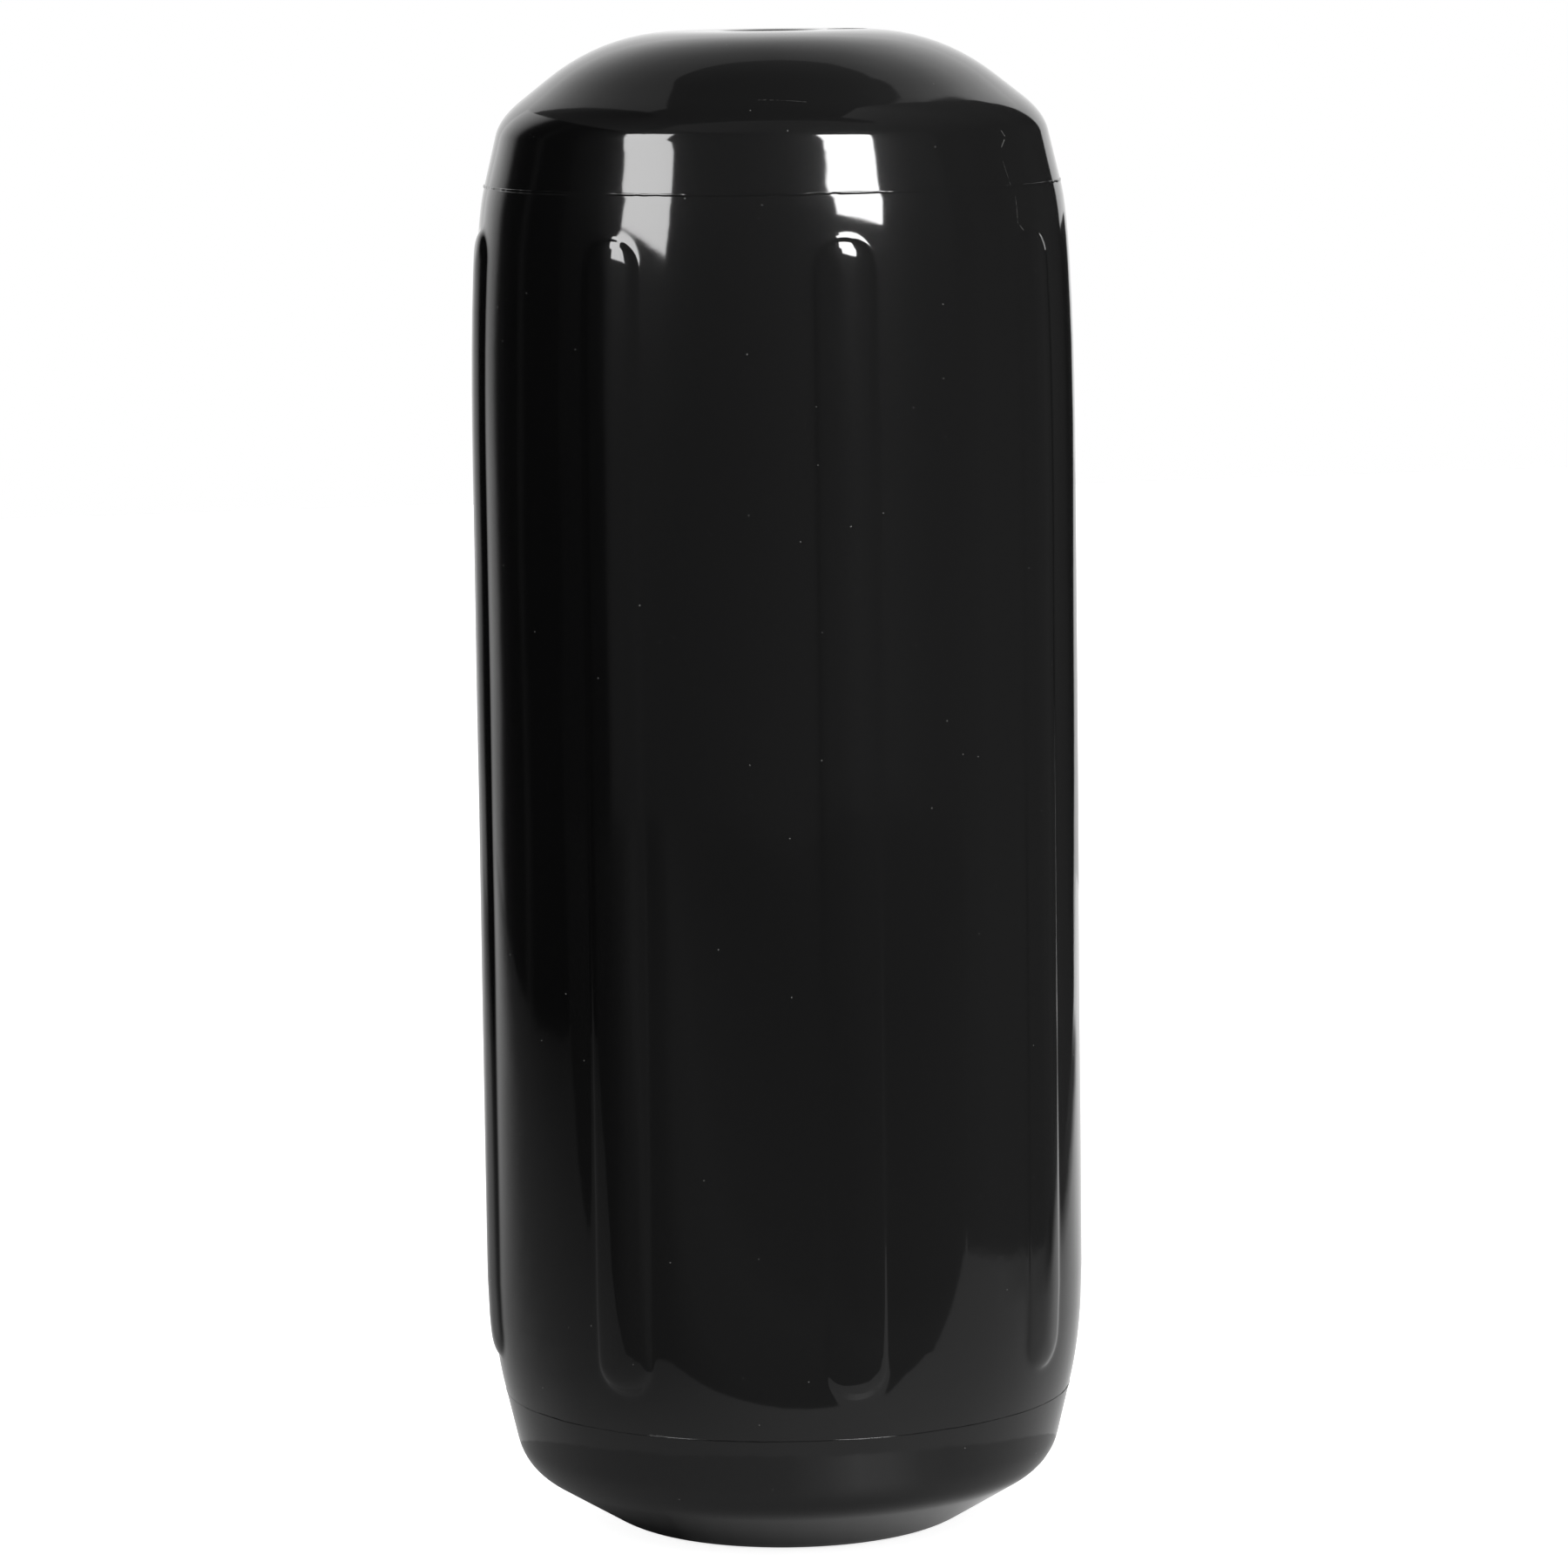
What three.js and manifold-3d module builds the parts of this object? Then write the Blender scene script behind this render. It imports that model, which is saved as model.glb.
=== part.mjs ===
// Inflatable boat fender with a rope tube through its middle.
//
// A long ribbed barrel of thick glossy vinyl with a collar and a cone at each end.
// It is moulded in one piece round a core pin, which leaves the tube that the line runs through.
// A ring of thin flash at each end shows where the mould's end caps met its barrel.
// The only loose piece is the rubber needle valve, pressed into a socket beside the tube's top mouth.
//
// Millimetres, +Z up, origin in the middle of the bottom face, a rib facing -Y.
// The air space is sealed, so the body is modelled as one filled solid with its true outer form.

import * as THREE from 'three';
import { mergeVertices } from 'three/addons/utils/BufferGeometryUtils.js';
import Module from 'manifold-3d';

// Overall body
const BODY_LENGTH = 508;
const BODY_DIAMETER = 203;
const END_FACE_DIAMETER = 111;
const DRAFT_DEGREES = 13.7;
const SEAM_DROP = 4.5;

// Top end, as depths below the top face
const TOP_CONE_DEPTH = 28.3;
const TOP_SEAM_DEPTH = 51;
const TOP_SHOULDER_LENGTH = 100;
const TOP_FACE_BLEND = 25;
const TOP_EDGE_BLEND = 6;

// Bottom end, pressed a little flatter by the weight that stands on it
const BOTTOM_CONE_DEPTH = 21.2;
const BOTTOM_SEAM_DEPTH = 46.5;
const BOTTOM_SHOULDER_LENGTH = 45;
const BOTTOM_FACE_BLEND = 7;
const BOTTOM_EDGE_BLEND = 9;

// Flash line where the mould parts meet
const FLASH_WIDTH = 1.2;
const FLASH_HEIGHT = 0.35;

// Rope tube
const TUBE_BORE = 22;
const TUBE_MOUTH_RADIUS = 7;

// Ribs down the barrel
const RIB_COUNT = 8;
const RIB_WIDTH = 26.4;
const RIB_CROWN_WIDTH = 12.8;
const RIB_CROWN_CENTRE_WIDTH = 4.4;
const RIB_HEIGHT = 2;
const RIB_END_STRETCH = 1.25;
const RIB_END_GAP = 11;
const RIB_FOOT_DEPTH = 0.4;
const RIB_ROOT_DEPTH = 4;

// Needle valve and its socket
const VALVE_HEAD_DIAMETER = 13;
const VALVE_HEAD_THICKNESS = 1.8;
const VALVE_HEAD_ROUNDING = 0.6;
const VALVE_STEM_DIAMETER = 8.4;
const VALVE_STEM_LENGTH = 11;
const VALVE_TIP_CHAMFER = 1.2;
const NEEDLE_HOLE_DIAMETER = 1.8;
const NEEDLE_HOLE_DEPTH = 8.5;
const NEEDLE_FUNNEL_DIAMETER = 4.6;
const NEEDLE_FUNNEL_DEPTH = 1.1;
const VALVE_TO_MOUTH = 1.6;
const SEAT_GAP = 0.3;

// How finely the curves are faceted
const BODY_SEGMENTS = 64;
const VALVE_SEGMENTS = 24;
const MOUTH_STEPS = 4;
const FACE_BLEND_STEPS = 5;
const EDGE_BLEND_STEPS = 4;
const SHOULDER_STEPS = 5;
const RIB_END_STEPS = 4;
const RIB_FLANK_STEPS = 4;
const VALVE_ROUNDING_STEPS = 3;

const bodyRadius = BODY_DIAMETER / 2;
const seamRadius = bodyRadius - SEAM_DROP;
const boreRadius = TUBE_BORE / 2;
const faceRadius = END_FACE_DIAMETER / 2;
const draftSlope = Math.tan(THREE.MathUtils.degToRad(DRAFT_DEGREES));

const wasm = await Module();
wasm.setup();

// Closed three.js geometry to solid, and back.
function solidFrom(geometry) {
  const bare = geometry.clone();
  bare.deleteAttribute('normal');
  bare.deleteAttribute('uv');
  const merged = mergeVertices(bare, 1e-4);
  return new wasm.Manifold(new wasm.Mesh({
    numProp: 3,
    vertProperties: merged.attributes.position.array,
    triVerts: new Uint32Array(merged.index.array),
  }));
}

function geometryFrom(solid) {
  const { numProp, numVert, vertProperties, triVerts } = solid.getMesh();
  const positions = new Float32Array(numVert * 3);
  for (let i = 0; i < numVert; i += 1) {
    positions.set(vertProperties.subarray(i * numProp, i * numProp + 3), i * 3);
  }
  const geometry = new THREE.BufferGeometry();
  geometry.setAttribute('position', new THREE.BufferAttribute(positions, 3));
  geometry.setIndex(new THREE.BufferAttribute(triVerts, 1));
  geometry.computeVertexNormals();
  return geometry;
}

// Points along a run of curves, each with its own number of steps, without the doubled ends.
function trace(runs) {
  const points = [];
  for (const [curve, steps] of runs) {
    for (const point of curve.getPoints(steps)) {
      if (!points.length || point.distanceTo(points.at(-1)) > 1e-6) points.push(point);
    }
  }
  return points;
}

function line(from, to) {
  return [new THREE.LineCurve(from, to), 1];
}

// A corner softened by a curve that leaves each side at a stated distance from the corner.
function softCorner(before, corner, after, reach, steps) {
  const toBefore = before.clone().sub(corner).setLength(reach).add(corner);
  const toAfter = after.clone().sub(corner).setLength(reach).add(corner);
  return [new THREE.QuadraticBezierCurve(toBefore, corner, toAfter), steps];
}

// One end's outline as radius and depth, from the tube's wall out over the face, the cone, the edge
// and the drafted collar to the flash line, and on along the shoulder to the full barrel.
function endOutline(end) {
  const mouth = new THREE.EllipseCurve(
    boreRadius + TUBE_MOUTH_RADIUS, TUBE_MOUTH_RADIUS,
    TUBE_MOUTH_RADIUS, TUBE_MOUTH_RADIUS, Math.PI, 1.5 * Math.PI, false);
  const faceRim = new THREE.Vector2(faceRadius, 0);
  const edgeRadius = seamRadius - (end.seamDepth - end.coneDepth) * draftSlope;
  const edge = new THREE.Vector2(edgeRadius, end.coneDepth);
  const seam = new THREE.Vector2(seamRadius, end.seamDepth);
  const flashStart = seam.clone().sub(edge).setLength(-FLASH_WIDTH / 2).add(seam);
  const flashCrest = new THREE.Vector2(seamRadius + FLASH_HEIGHT, end.seamDepth);
  const shoulderBend = new THREE.Vector2(bodyRadius, end.seamDepth + SEAM_DROP / draftSlope);
  const flashEnd = shoulderBend.clone().sub(seam).setLength(FLASH_WIDTH / 2).add(seam);
  const shoulderEnd = new THREE.Vector2(bodyRadius, end.seamDepth + end.shoulderLength);
  const faceInner = mouth.getPoint(1);
  const faceBlend = softCorner(faceInner, faceRim, edge, end.faceBlend, FACE_BLEND_STEPS);
  const edgeBlend = softCorner(faceRim, edge, seam, end.edgeBlend, EDGE_BLEND_STEPS);
  return trace([
    [mouth, MOUTH_STEPS],
    line(faceInner, faceBlend[0].v0),
    faceBlend,
    line(faceBlend[0].v2, edgeBlend[0].v0),
    edgeBlend,
    line(edgeBlend[0].v2, flashStart),
    line(flashStart, flashCrest),
    line(flashCrest, flashEnd),
    [new THREE.QuadraticBezierCurve(flashEnd, shoulderBend, shoulderEnd), SHOULDER_STEPS],
  ]);
}

const topOutline = endOutline({
  coneDepth: TOP_CONE_DEPTH,
  seamDepth: TOP_SEAM_DEPTH,
  shoulderLength: TOP_SHOULDER_LENGTH,
  faceBlend: TOP_FACE_BLEND,
  edgeBlend: TOP_EDGE_BLEND,
});
const bottomOutline = endOutline({
  coneDepth: BOTTOM_CONE_DEPTH,
  seamDepth: BOTTOM_SEAM_DEPTH,
  shoulderLength: BOTTOM_SHOULDER_LENGTH,
  faceBlend: BOTTOM_FACE_BLEND,
  edgeBlend: BOTTOM_EDGE_BLEND,
});

// The whole section, closed through the tube's wall: up the outside and down the tube.
const section = [
  ...bottomOutline,
  ...topOutline.map((point) => new THREE.Vector2(point.x, BODY_LENGTH - point.y)).reverse(),
];
section.push(section[0].clone());

function revolved(points, segments) {
  return new THREE.LatheGeometry(points, segments).rotateX(Math.PI / 2);
}

// Outer radius at a height, read between the section's own points, so that ribs follow its facets.
function outerRadius(z) {
  for (let i = 1; i < section.length - 1; i += 1) {
    const low = section[i - 1];
    const high = section[i];
    if (low.x > faceRadius && low.y <= z && z <= high.y) {
      return THREE.MathUtils.mapLinear(z, low.y, high.y, low.x, high.x);
    }
  }
  throw new Error(`no outer wall at height ${z}`);
}

// Rib: a long low pad with rounded ends, a flat crown and S-shaped flanks that lengthen at the ends.
const ribEndReach = RIB_END_STRETCH * RIB_WIDTH / 2;
const ribLow = BOTTOM_SEAM_DEPTH + RIB_END_GAP + ribEndReach;
const ribHigh = BODY_LENGTH - TOP_SEAM_DEPTH - RIB_END_GAP - ribEndReach;
const ribSideHeights = section
  .filter((point) => point.x > faceRadius && point.y > ribLow && point.y < ribHigh)
  .map((point) => point.y);

// The stretched stadium at one reach round the rib's spine, as distance across and height,
// from the bottom tip up the right side, over the top tip and down the left.
function stadium(reach) {
  const right = [];
  for (let step = 0; step <= RIB_END_STEPS; step += 1) {
    const turn = Math.PI / 2 * (step / RIB_END_STEPS - 1);
    right.push([reach * Math.cos(turn), ribLow + RIB_END_STRETCH * reach * Math.sin(turn)]);
  }
  right.push(...ribSideHeights.map((z) => [reach, z]));
  for (let step = 0; step <= RIB_END_STEPS; step += 1) {
    const turn = Math.PI / 2 * step / RIB_END_STEPS;
    right.push([reach * Math.cos(turn), ribHigh + RIB_END_STRETCH * reach * Math.sin(turn)]);
  }
  const left = right.slice(1, -1).reverse().map(([across, z]) => [-across, z]);
  return [...right, ...left];
}

// A rib's layers, from its buried root out along the flank and in over the crown.
function ribLayers() {
  const footReach = RIB_WIDTH / 2;
  const crownReach = RIB_CROWN_WIDTH / 2;
  const layers = [
    { reach: footReach, lift: -RIB_ROOT_DEPTH },
    { reach: footReach, lift: -RIB_FOOT_DEPTH },
  ];
  for (let step = RIB_FLANK_STEPS - 1; step >= 0; step -= 1) {
    const share = step / RIB_FLANK_STEPS;
    layers.push({
      reach: THREE.MathUtils.lerp(crownReach, footReach, share),
      lift: RIB_HEIGHT * (1 + Math.cos(Math.PI * share)) / 2,
    });
  }
  layers.push({ reach: RIB_CROWN_CENTRE_WIDTH / 2, lift: RIB_HEIGHT });
  return layers;
}

// A flat cap over one stadium, as a ladder of triangles between its mirrored sides.
function capTriangles(first, count) {
  const triangles = [];
  const half = count / 2;
  for (let rung = 0; rung < half; rung += 1) {
    const right = first + rung;
    const left = first + (count - rung) % count;
    const leftNext = first + count - rung - 1;
    if (rung > 0) triangles.push([right, right + 1, left]);
    if (rung < half - 1) triangles.push([right + 1, leftNext, left]);
  }
  return triangles;
}

function ribGeometry(facing) {
  const layers = ribLayers();
  const positions = [];
  for (const { reach, lift } of layers) {
    for (const [across, z] of stadium(reach)) {
      const angle = facing + across / bodyRadius;
      const radius = outerRadius(z) + lift;
      positions.push(radius * Math.cos(angle), radius * Math.sin(angle), z);
    }
  }
  const count = positions.length / 3 / layers.length;
  const triangles = capTriangles(0, count).map((triangle) => triangle.reverse());
  for (let layer = 0; layer < layers.length - 1; layer += 1) {
    for (let i = 0; i < count; i += 1) {
      const a = layer * count + i;
      const b = layer * count + (i + 1) % count;
      triangles.push([a, b, a + count], [b, b + count, a + count]);
    }
  }
  triangles.push(...capTriangles((layers.length - 1) * count, count));
  const geometry = new THREE.BufferGeometry();
  geometry.setAttribute('position', new THREE.Float32BufferAttribute(positions, 3));
  geometry.setIndex(triangles.flat());
  return geometry;
}

// Needle valve: a flush round head on a plain stem, with a funnelled hole for the pump's needle.
const headRadius = VALVE_HEAD_DIAMETER / 2;
const stemRadius = VALVE_STEM_DIAMETER / 2;
const valveLength = VALVE_HEAD_THICKNESS + VALVE_STEM_LENGTH;
const valveOffset = boreRadius + TUBE_MOUTH_RADIUS + VALVE_TO_MOUTH + headRadius + SEAT_GAP;

function valveGeometry() {
  const needleRadius = NEEDLE_HOLE_DIAMETER / 2;
  const headRounding = new THREE.EllipseCurve(
    headRadius - VALVE_HEAD_ROUNDING, -VALVE_HEAD_ROUNDING,
    VALVE_HEAD_ROUNDING, VALVE_HEAD_ROUNDING, 0, Math.PI / 2, false);
  return revolved([
    new THREE.Vector2(0, -valveLength),
    new THREE.Vector2(stemRadius - VALVE_TIP_CHAMFER, -valveLength),
    new THREE.Vector2(stemRadius, VALVE_TIP_CHAMFER - valveLength),
    new THREE.Vector2(stemRadius, -VALVE_HEAD_THICKNESS),
    new THREE.Vector2(headRadius, -VALVE_HEAD_THICKNESS),
    ...headRounding.getPoints(VALVE_ROUNDING_STEPS),
    new THREE.Vector2(NEEDLE_FUNNEL_DIAMETER / 2, 0),
    new THREE.Vector2(needleRadius, -NEEDLE_FUNNEL_DEPTH),
    new THREE.Vector2(needleRadius, -NEEDLE_HOLE_DEPTH),
    new THREE.Vector2(0, -NEEDLE_HOLE_DEPTH),
  ], VALVE_SEGMENTS);
}

// The valve's socket: its own outline, a seat gap larger all round and open at the face.
function socketGeometry() {
  const mouthRadius = headRadius + SEAT_GAP;
  const wellRadius = stemRadius + SEAT_GAP;
  const shelf = -VALVE_HEAD_THICKNESS - SEAT_GAP;
  const floor = -valveLength - SEAT_GAP;
  return revolved([
    new THREE.Vector2(0, floor),
    new THREE.Vector2(wellRadius, floor),
    new THREE.Vector2(wellRadius, shelf),
    new THREE.Vector2(mouthRadius, shelf),
    new THREE.Vector2(mouthRadius, VALVE_HEAD_THICKNESS),
    new THREE.Vector2(0, VALVE_HEAD_THICKNESS),
  ], VALVE_SEGMENTS).translate(valveOffset, 0, BODY_LENGTH);
}

// Body: the revolved section, with the pattern of ribs joined on and the valve's socket cut in.
function bodyGeometry() {
  let body = solidFrom(revolved(section, BODY_SEGMENTS));
  for (let rib = 0; rib < RIB_COUNT; rib += 1) {
    const facing = 2 * Math.PI * rib / RIB_COUNT - Math.PI / 2;
    body = body.add(solidFrom(ribGeometry(facing)));
  }
  return geometryFrom(body.subtract(solidFrom(socketGeometry())));
}

const glossyVinyl = new THREE.MeshStandardMaterial({ color: 0x1b1b1c, roughness: 0.08, metalness: 0 });
const valveRubber = new THREE.MeshStandardMaterial({ color: 0x232323, roughness: 0.55, metalness: 0 });

const fenderBody = new THREE.Mesh(bodyGeometry(), glossyVinyl);
fenderBody.name = 'fender_body';

const needleValve = new THREE.Mesh(valveGeometry(), valveRubber);
needleValve.name = 'needle_valve';
needleValve.position.set(valveOffset, 0, BODY_LENGTH);

const boatFender = new THREE.Group();
boatFender.add(fenderBody, needleValve);

export default boatFender;
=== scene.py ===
"""Inflatable boat fender of glossy black vinyl, set up for a product photograph.

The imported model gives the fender's place and size. This file adds the finely shaped vinyl body,
the flash left at the mould's parting lines, the rubber needle valve, their finishes and the studio.
Lengths are metres, +Z is up, and the fender stands at the origin with a rib facing -Y.
"""

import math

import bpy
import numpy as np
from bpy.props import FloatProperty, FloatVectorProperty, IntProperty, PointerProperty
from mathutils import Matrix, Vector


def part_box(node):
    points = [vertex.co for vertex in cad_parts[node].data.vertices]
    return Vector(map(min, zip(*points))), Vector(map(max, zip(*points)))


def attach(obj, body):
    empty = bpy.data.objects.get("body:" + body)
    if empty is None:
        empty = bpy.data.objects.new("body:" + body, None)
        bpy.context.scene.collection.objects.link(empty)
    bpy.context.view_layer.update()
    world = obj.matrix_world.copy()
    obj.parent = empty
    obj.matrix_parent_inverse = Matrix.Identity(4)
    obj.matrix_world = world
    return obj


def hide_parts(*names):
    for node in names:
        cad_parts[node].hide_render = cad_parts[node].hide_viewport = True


bl_info = {
    "name": "Boat Fender",
    "version": (1, 0, 0),
    "blender": (4, 5, 0),
    "location": "3D View > Sidebar > Boat Fender",
    "description": "Builds an inflatable ribbed boat fender and the studio round it",
    "category": "Object",
}

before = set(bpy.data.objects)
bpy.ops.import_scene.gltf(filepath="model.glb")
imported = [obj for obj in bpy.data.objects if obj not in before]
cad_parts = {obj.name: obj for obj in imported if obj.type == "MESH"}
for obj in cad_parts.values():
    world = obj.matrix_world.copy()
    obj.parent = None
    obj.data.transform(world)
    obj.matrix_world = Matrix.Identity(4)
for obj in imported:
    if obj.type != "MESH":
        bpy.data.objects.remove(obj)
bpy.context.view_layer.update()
body_low, body_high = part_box("fender_body")
valve_low, valve_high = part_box("needle_valve")

MILLIMETRE = 0.001

# The photograph's frame, and where its camera stood
PHOTO_PIXELS = 1800
SENSOR_WIDTH = 36.0
FOCAL_PIXELS = 8119
CAMERA_AZIMUTH = math.radians(-13.4)
CAMERA_DISTANCE = 2.385
CAMERA_HEIGHT = 0.5557
CAMERA_ROLL = math.radians(-0.73)
AIM_PIXEL = (895.4, 896.7)

# How finely the body is faceted
MOUTH_STEPS = 6
BLEND_STEPS = 11
CONE_STEPS = 4
COLLAR_STEPS = 5
SHOULDER_ROW = 0.003
RIB_TIP_ROW = 0.00035
RIB_TIP_REACH = 0.009
RIB_END_ROW = 0.0009
RIB_END_REACH = 0.018
BARREL_ROW = 0.0135
TUBE_ROWS = 5
CROWN_COLUMNS = 14
CROWN_GROWTH = 1.12
VALLEY_COLUMNS = 13
VALLEY_GROWTH = 1.38
FLASH_COLUMNS = 1440
FLASH_BEAD_POINTS = 7
LATHE_SEGMENTS = 96
VALVE_RIM_STEPS = 6
SHARP_ANGLE = math.radians(40)
SAME_POINT = 1e-7

# Slow waves that the vinyl took as it cooled: turns round the barrel, height of one wave,
# lean, share of the full depth and where the wave starts
COOLING_WAVES = [
    (3, 0.46, 0.4, 0.30, 0.6),
    (5, 0.31, -0.7, 0.22, 2.1),
    (8, 0.24, 0.2, 0.16, 4.0),
    (11, 0.17, 0.9, 0.12, 1.3),
    (16, 0.115, -0.5, 0.12, 5.2),
    (21, 0.083, 0.3, 0.08, 3.3),
]

# How far each rib strays from its even place, in degrees, from the rib that faces -Y
RIB_STRAYS = [-0.2, 0.5, 1.6, 0.8, 0.0, -1.8, -2.6, -0.7]

# How far each rib stands out, against the height that they share
RIB_SHARES = [1, 1, 1, 1, 1, 1, 1.2, 1]

# How much steeper a rib is at its two ends than along its sides
RIB_END_STEEPNESS = 1.15

# The flash's unevenness: its size and its seed at each end, its mean and least height, and runs of
# chance values, each as its part of the whole and how often it bends round the ring
FLASH_ENDS = {"top": (1, 8), "bottom": (0.45, 20)}
FLASH_MEAN_HEIGHT = 0.55
FLASH_LEAST_HEIGHT = 0.08
FLASH_HEIGHT_RUNS = [(0.2, 9), (0.35, 70), (0.25, 240)]
FLASH_DRIFT_RUNS = [(0.7, 7), (0.5, 45)]

DUST_COLOUR = (0.16, 0.16, 0.155)
MARK_ROUGHNESS = 0.5
SCRATCH_DEPTH = 0.00004

# Hairline scratches: azimuth and height of each end, in degrees and millimetres, and how plain it is
SCRATCHES = [
    ((40.8, 476.4), (42.2, 473.0), 0.7),
    ((42.2, 473.0), (39.9, 469.6), 0.9),
    ((39.6, 465.2), (40.6, 457.4), 0.5),
    ((41.5, 453.8), (41.2, 445.3), 0.4),
    ((41.2, 445.3), (42.8, 442.6), 0.7),
    ((-16.2, 487.1), (-5.7, 486.3), 0.3),
    ((-41.5, 47.0), (-37.0, 46.6), 0.4),
    ((151.0, 402.0), (157.0, 371.0), 0.6),
    ((-118.0, 262.0), (-111.0, 268.0), 0.6),
    ((96.0, 468.0), (103.0, 461.0), 0.6),
]

# The studio, from the camera's side: azimuths in degrees about the camera's axis, positive to its
# right, and lengths in metres. A brightness of 1 is white.
SOFTBOX_DISTANCE = 1.6
LAMP_AIM_HEIGHT = 0.3
LEFT_SOFTBOX_AZIMUTH = -55
LEFT_SOFTBOX_OUTLINE = [
    (-0.139, 0.664), (0.389, 0.564), (0.416, 0.712), (0.402, 1.034), (0.384, 1.141), (0.243, 1.356),
    (0.194, 1.941), (-0.471, 1.734), (-0.262, 1.055), (-0.156, 0.955),
]
RIGHT_SOFTBOX_AZIMUTH = 34
RIGHT_SOFTBOX_OUTLINE = [
    (-0.237, 0.824), (-0.042, 0.759), (0.224, 0.702), (0.284, 0.991), (0.262, 1.110), (0.323, 1.583),
    (0.323, 1.640), (-0.360, 1.877), (-0.339, 1.176), (-0.252, 1.055),
]

# The grey wall as a painted reflection: its painted brightness by azimuth, and how much that grows by
# elevation
WALL_DISTANCE = 2.0
WALL_CENTRE_HEIGHT = 0.25
WALL_LEVELS = [
    (-115, 0.012), (-93, 0.012), (-91, 0.045), (-89, 0.025), (-72, 0.03), (-66, 0.08), (-60, 0.12),
    (-50, 0.13), (-40, 0.13), (-20, 0.16), (0, 0.19), (20, 0.21), (40, 0.23), (60, 0.20), (80, 0.20),
]
WALL_GAINS = [(-65, 1.0), (-30, 1.0), (0, 1.0), (12, 1.15), (30, 1.25), (52, 1.2)]
WALL_GREY = 0.2

# The left flag as a painted reflection: how far away, and the painted brightness
LEFT_FLAG_ACROSS = -1.15
LEFT_FLAG_HEIGHT = 1.5
LEFT_FLAG = [
    (-0.05, 0.015), (0.35, 0.012), (0.43, 0.035), (0.51, 0.01), (0.70, 0.01), (0.88, 0.02), (0.95, 0.07),
    (1.04, 0.26), (1.10, 0.40), (1.25, 0.58), (1.50, 0.80), (1.80, 0.95), (2.60, 1.30),
]

# The board above it, also a painted reflection: how far away at its foot and at its top, and the painted
# brightness
UPPER_LEFT_FLAG = [
    (-0.60, -0.60, 0.15), (-0.22, -0.22, 0.14), (0.15, 0.15, 0.11), (0.83, 0.35, 0.07),
    (1.40, 0.50, 0.07), (1.80, 0.62, 0.10), (1.95, 0.65, 0.20),
]

# The right flag's columns, as a painted reflection: how far away, lowest and highest point, and the
# painted brightness up to its shoulder and at its top
RIGHT_FLAG_ACROSS = 0.585
RIGHT_FLAG_SHOULDER = 0.75
RIGHT_FLAG = [
    (-0.23, 0, 2.30, 0.20, 0.42), (-0.103, 0, 2.30, 0.20, 0.42), (0.051, 0, 2.30, 0.16, 0.40),
    (0.157, 0, 2.30, 0.14, 0.40), (0.273, 0, 2.30, 0.11, 0.36), (0.35, 0, 2.20, 0.10, 0.30),
    (0.41, 0, 1.95, 0.09, 0.24), (0.48, 0, 1.73, 0.08, 0.20), (0.55, 0, 1.50, 0.065, 0.16),
    (0.80, 0, 1.20, 0.035, 0.08), (0.93, 0, 0.90, 0.022, 0.05), (0.94, 0, 0.43, 0.02, 0.02),
    (1.05, 0, 0.43, 0.02, 0.02), (1.45, 0.17, 0.42, 0.02, 0.02), (1.75, 0.24, 0.41, 0.02, 0.02),
]

# The ceiling as a painted reflection: how far away, and its painted brightness at its left and at its
# right, with one turning into the other between two places across it
CEILING_HEIGHT = 2.85
CEILING_ACROSS = (-3.0, 3.0, 13)
CEILING_RISE = (0.0, 1.4)
CEILING = [
    (-2.5, 0.25, 0.25), (0.6, 0.28, 0.34), (1.3, 0.28, 0.49), (2.0, 0.34, 0.66), (2.9, 0.50, 0.90),
    (4.2, 0.78, 1.00), (6.5, 1.10, 1.10),
]

# The dark panel overhead as a painted reflection, with the painted brightness at each of its corners
OVERHEAD_HEIGHT = CEILING_HEIGHT - 0.02
OVERHEAD_OUTLINE = [
    (-1.15, 0.60), (-0.88, 0.64), (-0.84, 0.95), (-0.80, 1.02), (-0.55, 1.18), (-0.28, 1.30),
    (0.07, 1.36), (0.43, 1.30), (0.70, 1.15), (0.88, 1.04), (1.10, 1.12), (0.94, 0.72), (1.30, 0.55),
    (1.30, -0.60), (-1.15, -0.60),
]
OVERHEAD_LEVELS = [.10, .10, .11, .11, .13, .15, .17, .18, .18, .18, .16, .17, .17, .20, .14]

# A painted reflection of the dim part of the floor in front, with the painted brightness at each of its
# corners
DARK_FLOOR_HEIGHT = 0.001
DARK_FLOOR_OUTLINE = [
    (-2.4, 0.30), (-1.17, -0.05), (-0.6, -0.17), (-0.184, -0.232), (-0.065, -0.211), (0.0, -0.200),
    (0.118, -0.188), (0.160, -0.202), (0.307, -0.217), (0.513, -0.238), (2.4, -0.238), (2.4, -2.4),
    (-2.4, -2.4),
]
DARK_FLOOR_LEVELS = [.02, .03, .06, .13, .17, .19, .21, .22, .22, .20, .20, .20, .10]

# The floor round the fender as a painted reflection: first how far across and away its painted light turns
# from dim to bright, then how far across and the brightness of its dim part
MIRRORED_FLOOR_HEIGHT = 0.0005
MIRRORED_FLOOR_ACROSS = (-1.16, 0.59, 22)
MIRRORED_FLOOR_AWAY = (-0.35, 1.5, 20)
BRIGHT_FLOOR_EDGE = [(-1.16, 1.35), (-0.8, 0.78), (-0.2, 0.325), (0.06, 0.13), (0.3, 0.43), (0.42, 0.50)]
BRIGHT_FLOOR_SOFTNESS = 0.85
DIM_FLOOR = [(-1.16, 0.06), (-0.2, 0.24), (0.06, 0.52), (0.59, 0.46)]
RIGHT_FLOOR_GAIN = 0.15
RIGHT_FLOOR_GAIN_ACROSS = (0.3, 0.42)

# The painted shadow of the right flag on a strip of that floor, and where the shade sets in and lets off
FLAG_SHADE = 0.085
FLAG_SHADE_ACROSS = (0.40, 0.48)
FLAG_SHADE_START = (-0.10, 0.25)
FLAG_SHADE_END = (0.89, 0.97)
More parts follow.
